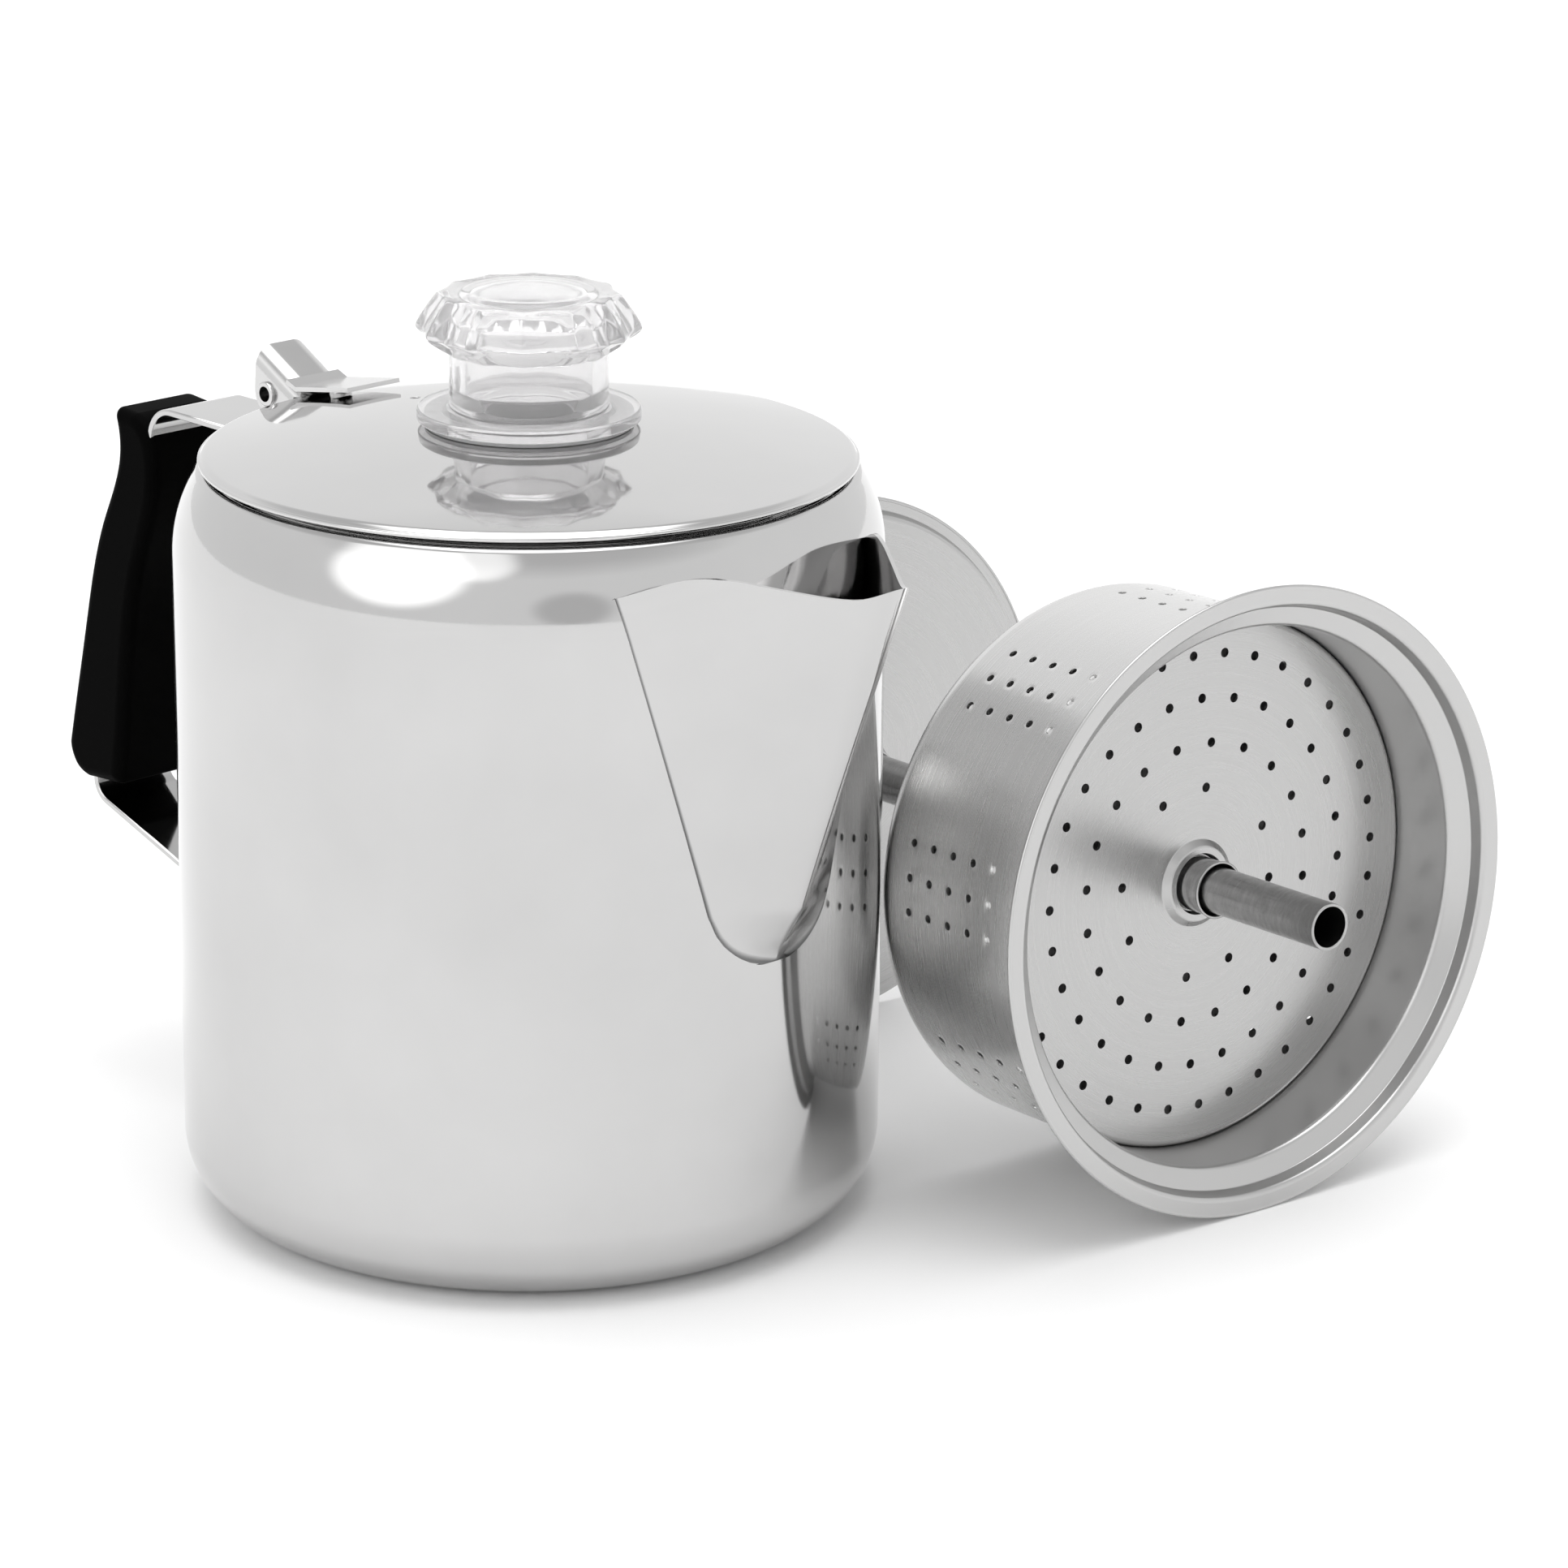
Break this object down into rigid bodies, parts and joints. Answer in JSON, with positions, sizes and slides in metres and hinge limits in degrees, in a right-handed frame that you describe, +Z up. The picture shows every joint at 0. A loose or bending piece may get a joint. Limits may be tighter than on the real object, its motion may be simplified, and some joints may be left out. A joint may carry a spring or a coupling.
{
  "type": "coffee percolator",
  "caption": "Polished steel camping percolator with welded spout, strap handle with a black grip, hinged lid, clear knob, and its basket, spreader and pump stem lying beside it.",
  "frame": {"origin": "centre of the pot's flat base, on the surface it stands on", "axes": "+Z up along the pot's axis, +X towards the spout, -X towards the handle; the loose insert lies on the +Y side"},
  "size_m": [0.2668, 0.2435, 0.1862],
  "materials": {
    "polished_steel": "polished",
    "brushed_steel": "brushed",
    "grip_plastic": "matte",
    "clear_plastic": "clear",
    "seal": "satin"
  },
  "bodies": {
    "pot": {"pot_body": "polished_steel", "spout": "polished_steel", "handle_strap": "polished_steel", "handle_grip": "grip_plastic", "hinge_leaf": "polished_steel", "hinge_pin": "polished_steel"},
    "lid": {"lid_shell": "polished_steel", "lid_skirt": "polished_steel", "hinge_hood": "polished_steel", "knob_seal": "seal"},
    "knob": {"knob": "clear_plastic"},
    "stem": {"stem_tube": "brushed_steel", "stem_collar": "brushed_steel", "stem_base": "brushed_steel"},
    "basket": {"basket_cup": "brushed_steel", "basket_guide": "brushed_steel"},
    "spreader": {"spreader_plate": "brushed_steel"}
  },
  "joints": [
    {"name": "lid_hinge", "type": "hinge", "parent": "pot", "child": "lid", "pos_m": [-0.0722, 0, 0.1529], "axis": [0, -1, 0], "range_deg": [0, 110]},
    {"name": "knob_twist", "type": "hinge", "parent": "lid", "child": "knob", "pos_m": [0, 0, 0.16], "axis": [0, 0, 1], "range_deg": [0, 60]},
    {"name": "stem_lift", "type": "slide", "parent": "pot", "child": "stem", "axis": [0, 0, 1], "range_m": [0, 0.2]},
    {"name": "basket_slide", "type": "slide", "parent": "stem", "child": "basket", "axis": [0.9908, -0.1287, 0.0428], "range_m": [0, 0.075]},
    {"name": "spreader_slide", "type": "slide", "parent": "basket", "child": "spreader", "axis": [0.9908, -0.1287, 0.0428], "range_m": [0, 0.05]}
  ]
}
